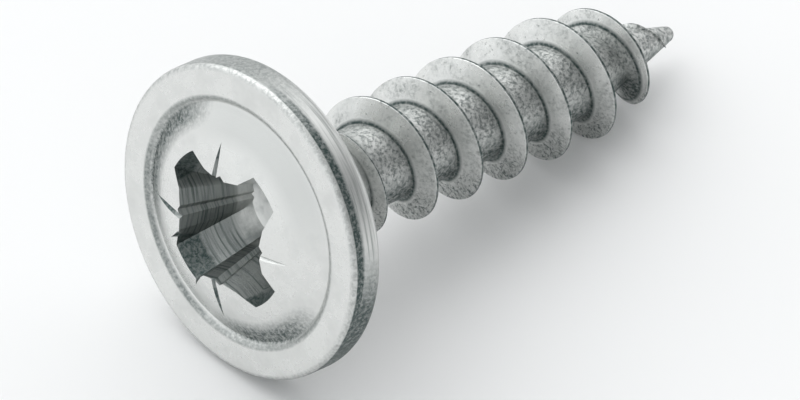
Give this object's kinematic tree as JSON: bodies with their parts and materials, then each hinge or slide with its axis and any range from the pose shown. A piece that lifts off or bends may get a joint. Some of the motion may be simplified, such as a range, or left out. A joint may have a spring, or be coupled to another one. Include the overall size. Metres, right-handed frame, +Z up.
{
  "type": "wood screw",
  "caption": "Zinc-plated steel wood screw with a wide flat flanged head, a cross drive recess, a plain neck, a coarse right-handed thread and a tapered point, lying on its side.",
  "frame": {"origin": "centre of the footprint on the surface that the screw lies on, at the bottom of its bounding box", "axes": "+X along the screw from the head to the tip, seen from above; +Z up; the tip dips because the screw rests on the rim of its flange and on a thread crest"},
  "size_m": [0.018, 0.0094, 0.0094],
  "materials": {
    "zinc_plated_steel": "bright zinc plating over cold-formed steel"
  },
  "bodies": {
    "root": {"wood_screw": "zinc_plated_steel"}
  },
  "joints": []
}
